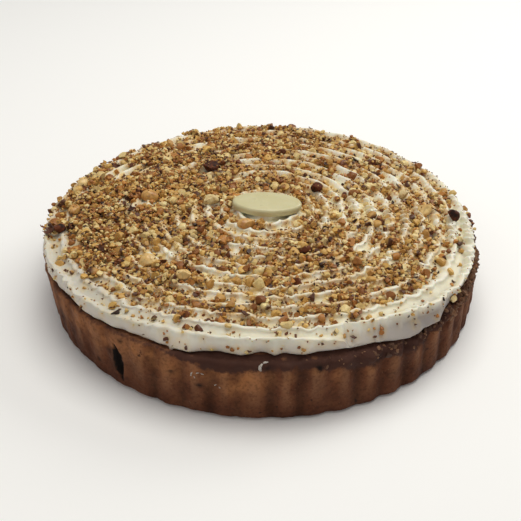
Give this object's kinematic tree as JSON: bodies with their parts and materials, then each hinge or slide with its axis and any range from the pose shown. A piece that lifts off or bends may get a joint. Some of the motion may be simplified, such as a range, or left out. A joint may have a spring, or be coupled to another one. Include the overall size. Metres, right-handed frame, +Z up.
{
  "type": "caramel cream flan",
  "caption": "Round fluted pastry flan under whipped cream piped in one spiral, strewn with chopped caramelised hazelnuts, with a plain oval of white chocolate in the middle.",
  "frame": {"origin": "the middle of the flat underside of the pastry case", "axes": "+Z up out of the cream, -Y towards the front where the piped strand ends, +X to the right seen from the front"},
  "size_m": [0.2445, 0.245, 0.0522],
  "materials": {
    "pastry": "matte, browned baked crust",
    "cream": "soft satin whipped cream",
    "chocolate": "semi-gloss moulded white chocolate",
    "nut_golden": "satin toasted kernel",
    "nut_pale": "matte cut kernel",
    "nut_caramel": "glazed with burnt sugar",
    "nut_skin": "matte papery brown skin"
  },
  "bodies": {
    "root": {"flan_case": "pastry", "cream_spiral": "cream", "chocolate_plaque": "chocolate", "nut_dark_skin": "nut_skin", "nut_orange_half": "nut_caramel", "nut_golden_dome": "nut_golden", "nut_by_plaque": "nut_caramel", "nut_pale_long": "nut_pale", "nut_brown_right": "nut_skin", "nut_dark_front": "nut_skin", "nut_red_cube": "nut_skin", "nut_gold_edge": "nut_golden", "nut_orange_edge": "nut_caramel", "nut_dark_edge": "nut_skin", "nut_gold_right": "nut_golden", "nut_pale_right": "nut_pale", "nut_gold_front": "nut_golden"}
  },
  "joints": []
}
